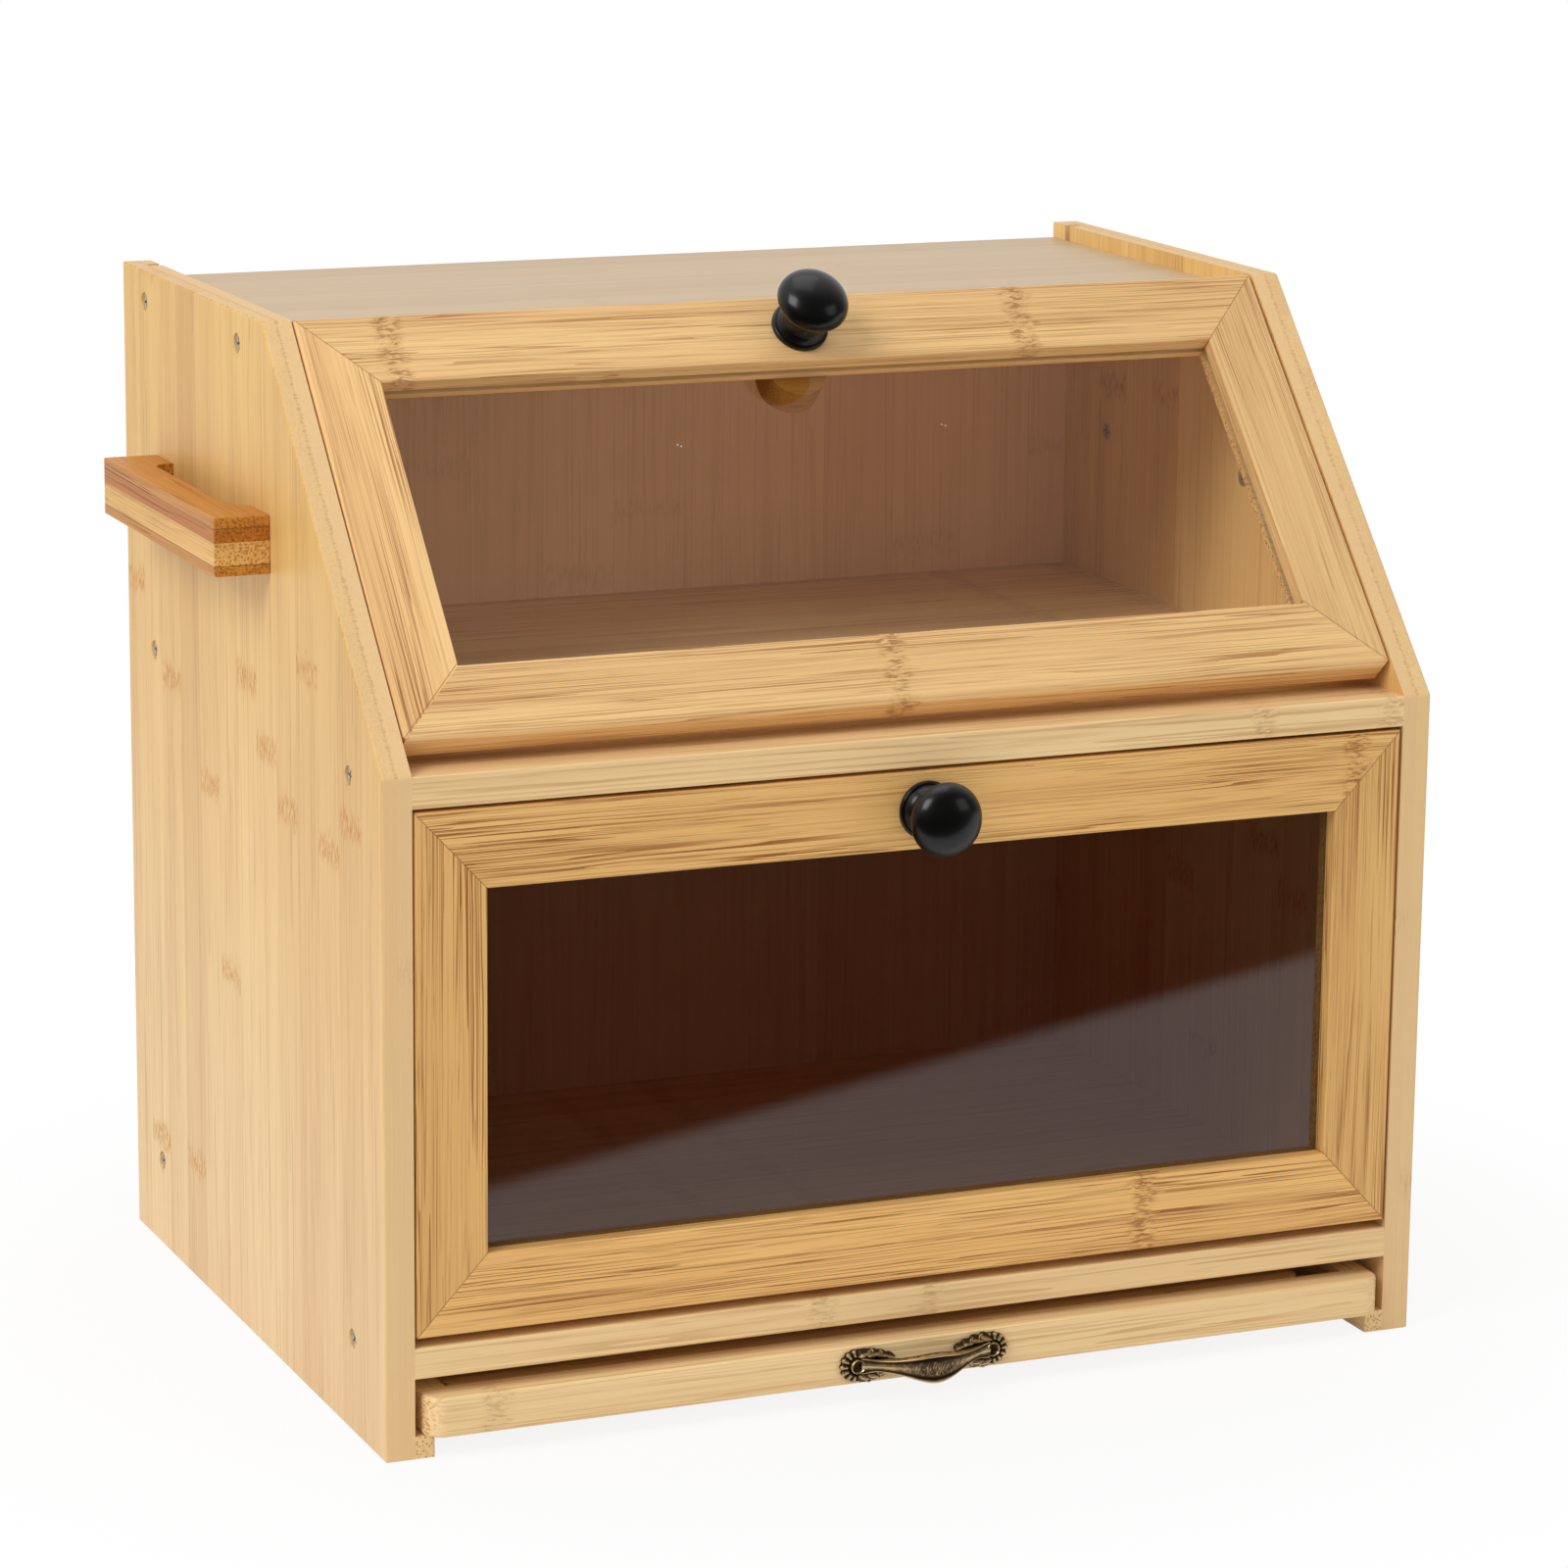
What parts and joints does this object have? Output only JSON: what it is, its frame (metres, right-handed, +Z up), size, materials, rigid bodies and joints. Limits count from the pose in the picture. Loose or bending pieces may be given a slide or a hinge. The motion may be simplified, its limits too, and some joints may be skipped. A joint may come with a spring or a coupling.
{
  "type": "bread box with drawer",
  "caption": "Countertop bamboo bread box: two compartments with framed see-through drop-down doors, a tray drawer with cutting board below, side handles.",
  "frame": {"origin": "middle of the base of the bounding box, on the surface the box stands on", "axes": "+X across the box to the right seen from the front, -Y out of the front, +Z up"},
  "size_m": [0.441, 0.3204, 0.3881],
  "materials": {
    "side_bamboo": "satin, clear lacquer",
    "frame_bamboo": "satin, clear lacquer",
    "top_bamboo": "satin, clear lacquer",
    "board_bamboo": "satin, clear lacquer",
    "dark_bamboo": "satin, clear lacquer",
    "acrylic": "clear, polished",
    "black_knob": "satin black lacquer",
    "bronze": "antique bronze, rubbed bright on high edges",
    "steel": "zinc plated"
  },
  "bodies": {
    "carcass": {"left_side": "side_bamboo", "right_side": "side_bamboo", "top_panel": "top_bamboo", "middle_shelf": "board_bamboo", "bottom_shelf": "board_bamboo", "back_board": "board_bamboo", "left_runner": "board_bamboo", "right_runner": "board_bamboo", "left_handle": "dark_bamboo", "right_handle": "dark_bamboo", "left_side_screws": "steel", "right_side_screws": "steel", "left_handle_screws": "steel", "right_handle_screws": "steel", "upper_hinge_pins": "steel", "lower_hinge_pins": "steel", "upper_catch_block": "board_bamboo", "upper_catch_magnet": "steel", "lower_catch_block": "board_bamboo", "lower_catch_magnet": "steel"},
    "upper_door": {"upper_top_rail": "frame_bamboo", "upper_bottom_rail": "frame_bamboo", "upper_left_stile": "frame_bamboo", "upper_right_stile": "frame_bamboo", "upper_window": "acrylic", "upper_window_beads": "frame_bamboo", "upper_knob": "black_knob", "upper_knob_screw": "steel", "upper_strike_plate": "steel"},
    "lower_door": {"lower_top_rail": "frame_bamboo", "lower_bottom_rail": "frame_bamboo", "lower_left_stile": "frame_bamboo", "lower_right_stile": "frame_bamboo", "lower_window": "acrylic", "lower_window_beads": "frame_bamboo", "lower_knob": "black_knob", "lower_knob_screw": "steel", "lower_strike_plate": "steel"},
    "drawer": {"drawer_front": "board_bamboo", "drawer_left_rail": "board_bamboo", "drawer_right_rail": "board_bamboo", "drawer_back_rail": "board_bamboo", "drawer_bottom": "board_bamboo", "cutting_board": "board_bamboo", "drawer_pull": "bronze", "drawer_pull_screws": "bronze"}
  },
  "joints": [
    {"name": "upper_door_hinge", "type": "hinge", "parent": "carcass", "child": "upper_door", "pos_m": [0, -0.11464, 0.25483], "axis": [1, 0, 0], "range_deg": [0, 150]},
    {"name": "lower_door_hinge", "type": "hinge", "parent": "carcass", "child": "lower_door", "pos_m": [0, -0.13025, 0.054], "axis": [1, 0, 0], "range_deg": [0, 90]},
    {"name": "drawer_slide", "type": "slide", "parent": "carcass", "child": "drawer", "axis": [0, -1, 0], "range_m": [0, 0.2]}
  ]
}
